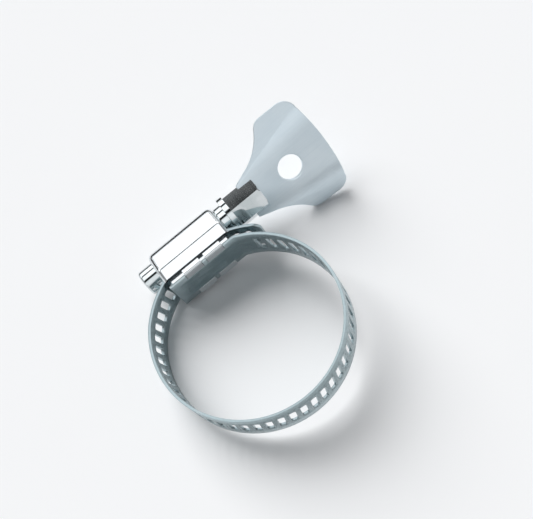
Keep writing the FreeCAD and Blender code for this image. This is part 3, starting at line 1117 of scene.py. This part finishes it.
# %% Turned screw
def turned_bar():
    """Bright zinc-plated turned steel, with rings round its axis."""
    finish = Finish("turned_zinc_bar", Metallic=1.0)
    rings = finish.noise((7000.0, 60.0, 60.0), detail=2.0)
    clouds = finish.noise((300.0, 300.0, 300.0), detail=2.0)
    worn = finish.stored("edge_wear")
    tone = finish.span(clouds, 0.35, 0.65)
    bar = finish.mixed(tone, (0.58, 0.63, 0.64, 1), (0.72, 0.76, 0.77, 1))
    colour = finish.mixed(worn * 0.5, bar, (0.84, 0.87, 0.88, 1))
    roughness = 0.07 + (rings - 0.5) * 0.05 + (clouds - 0.5) * 0.04
    normal = finish.bump(rings, 0.0000015)
    finish.feed(Base_Color=colour, Roughness=roughness, Normal=normal)
    return finish.material


# %% [markdown]
# The key is stamped from plain sheet and tumbled before plating, so it is satin: a soft pale blue-grey, with
# the sheet's grain along it, fine tumbling marks, and brighter rims where it is handled.


# %% Satin key
def satin_plate():
    """Satin zinc-plated stamping."""
    finish = Finish("satin_zinc_plate", Metallic=1.0)
    grain = finish.noise((120.0, 2600.0, 2600.0), detail=3.0)
    clouds = finish.noise((110.0, 140.0, 140.0), detail=3.0)
    specks = finish.noise((5200.0, 5200.0, 5200.0), detail=1.0)
    worn = finish.stored("edge_wear")
    tone = finish.span(clouds * 0.7 + grain * 0.3, 0.35, 0.65)
    plate_colour = finish.mixed(tone, (0.56, 0.66, 0.72, 1), (0.66, 0.75, 0.80, 1))
    colour = finish.mixed(worn * 0.6, plate_colour, (0.86, 0.90, 0.92, 1))
    roughness = 0.36 + (grain - 0.5) * 0.12 + (clouds - 0.5) * 0.10
    normal = finish.bump(grain * 0.5 + specks * 0.5, 0.000006)
    finish.feed(Base_Color=colour, Roughness=roughness, Normal=normal)
    return finish.material


# %% Give the pieces their finishes
def coat(material, *objs):
    """Puts one finish on the whole of each object."""
    for obj in objs:
        obj.data.materials.clear()
        obj.data.materials.append(material)
        for face in obj.data.polygons:
            face.material_index = 0


strip_finish = rolled_strip()
coat(strip_finish, head_strip, far_strip, tail_strip)
sheet_finish = pressed_sheet()
coat(sheet_finish, housing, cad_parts["housing_saddle"])
coat(turned_bar(), screw)
coat(satin_plate(), key)
print("finishes:", [material.name for material in bpy.data.materials if material.users])

# %% [markdown]
# ## Table, light and surroundings
#
# The clamp rests on three points: the loop's lower rim, a leg and the lower wing of the key. The table is a
# pale sheet through those points.

# %% Table
def matt(name, roughness, lumps, first, second):
    """A matt surface that varies a little between two colours, in so many lumps a metre."""
    finish = Finish(name, Roughness=roughness, Specular_IOR_Level=0.0)
    finish.feed(Base_Color=finish.mixed(finish.noise((lumps, lumps, lumps)), first, second))
    return finish.material


rest = mm(-19.42, 9.05, -5.0)
table_up = Vector((0.136, -0.0533, 0.9893)).normalized()
facing_up = table_up.to_track_quat("Z", "Y").to_euler()
clear_bench()
bpy.ops.mesh.primitive_plane_add(size=40, location=rest, rotation=facing_up)
table = bpy.context.object
table.name = "table"
coat(matt("pale_paper", 0.9, 30.0, (0.89, 0.897, 0.907, 1), (0.90, 0.907, 0.917, 1)), table)

# %% [markdown]
# Bright metal shows what is round it, so the surroundings matter as much as the lamp. The room is a pattern
# of bright and dark strips that run along the screw, and only reflections see it: one strip for the side of
# the housing, one for its sloping shoulder, a dark gap between them for the line along the bend and the face
# of the hexagon, and a dimmer glow in front for the key. The table sees a weak even fill instead, and the
# camera a plain pale wall.

# %% Room
across = Vector((1, 0, 0))
across = (across - table_up * across.dot(table_up)).normalized()
behind = table_up.cross(across)

room = bpy.context.scene.world or bpy.data.worlds.new("room")
bpy.context.scene.world = room
room.use_nodes = True
light = Nodes(room.node_tree)
way = light.field("ShaderNodeTexCoord", {}, output="Generated")


def towards(direction):
    """How far a way out of the scene points in a direction."""
    return light.field(
        "ShaderNodeVectorMath", {0: way, 1: direction}, output="Value", operation="DOT_PRODUCT"
    )


upward, backward, sideways = towards(table_up), towards(behind), towards(across)
tilt = light.field("ShaderNodeMath", {0: backward, 1: upward}, operation="ARCTAN2") * (180 / math.pi)


def lit_between(low, high, blur=3.0):
    """One between two tilts of the way out, in degrees behind the zenith, and zero outside them."""
    return light.span(tilt, low - blur, low + blur) * light.span(tilt, high - blur, high + blur, 1.0, 0.0)


DARK = 0.95
WALL_SEEN = 0.9
FILL = 0.24
middle = light.span(sideways * sideways, 0.30, 0.62, 1.0, 0.0)
shine = 0.30 + middle * (lit_between(9, 43) * 1.2 + lit_between(54, 88, 2.0) * 1.4)
shine = shine + lit_between(-78, -10, 5.0) * (0.52 + lit_between(-45, -10, 8.0) * 0.3)
shine = shine * (1 - lit_between(43, 54, 2.0) * middle * DARK) * (1 - lit_between(-9, 7) * DARK)
shine = shine * (1 - light.span(upward, 0.01, 0.06, DARK, 0.0))
rays = light.node("ShaderNodeLightPath", {})
seen = Field(light, rays.outputs["Is Camera Ray"])
mirrored = Field(light, rays.outputs["Is Glossy Ray"])
background = room.node_tree.nodes["Background"]
background.inputs["Color"].default_value = (0.975, 0.985, 1.0, 1)
strength = seen * WALL_SEEN + mirrored * shine + (1 - seen) * (1 - mirrored) * FILL
room.node_tree.links.new(strength.socket, background.inputs["Strength"])

# %% [markdown]
# One wide lamp stands high behind the housing and throws the soft shadows. It lights everything evenly, and
# reflections don't see it, because the room's strips are there for them. A black card lies on the table
# behind the housing. Only reflections see it, and it draws the dark line along the far edge of the housing.

# %% Lamp and card
LAMP_TILT = 48.0
LAMP_ASIDE = 0.10
lamp_way = table_up * math.cos(math.radians(LAMP_TILT)) + behind * math.sin(math.radians(LAMP_TILT))
lamp_way = (lamp_way - across * LAMP_ASIDE).normalized()
clear_bench()
bpy.ops.object.light_add(type="SUN", location=lamp_way)
lamp = bpy.context.object
lamp.name = lamp.data.name = "soft_lamp"
lamp.rotation_euler = lamp_way.to_track_quat("Z", "Y").to_euler()
lamp.data.angle = math.radians(50)
lamp.data.energy = 3.7
lamp.visible_glossy = False

CARD_NEAR, CARD_FAR = mm(38), mm(120)
CARD_WIDTH = mm(120)
CARD_LIFT = mm(0.4)
clear_bench()
bpy.ops.mesh.primitive_plane_add(size=1)
flag = bpy.context.object
flag.name = "black_card"
coat(matt("black_card", 1.0, 9.0, (0.012, 0.012, 0.012, 1), (0.018, 0.018, 0.018, 1)), flag)
card_place = Matrix.Translation(rest + table_up * CARD_LIFT + behind * (CARD_NEAR + CARD_FAR) / 2)
card_turn = Matrix((across, behind, table_up)).transposed().to_4x4()
card_size = Matrix.Diagonal((CARD_WIDTH, CARD_FAR - CARD_NEAR, 1, 1))
flag.matrix_world = card_place @ card_turn @ card_size
flag.visible_camera = flag.visible_diffuse = flag.visible_shadow = False

bpy.context.scene.view_settings.view_transform = "Standard"
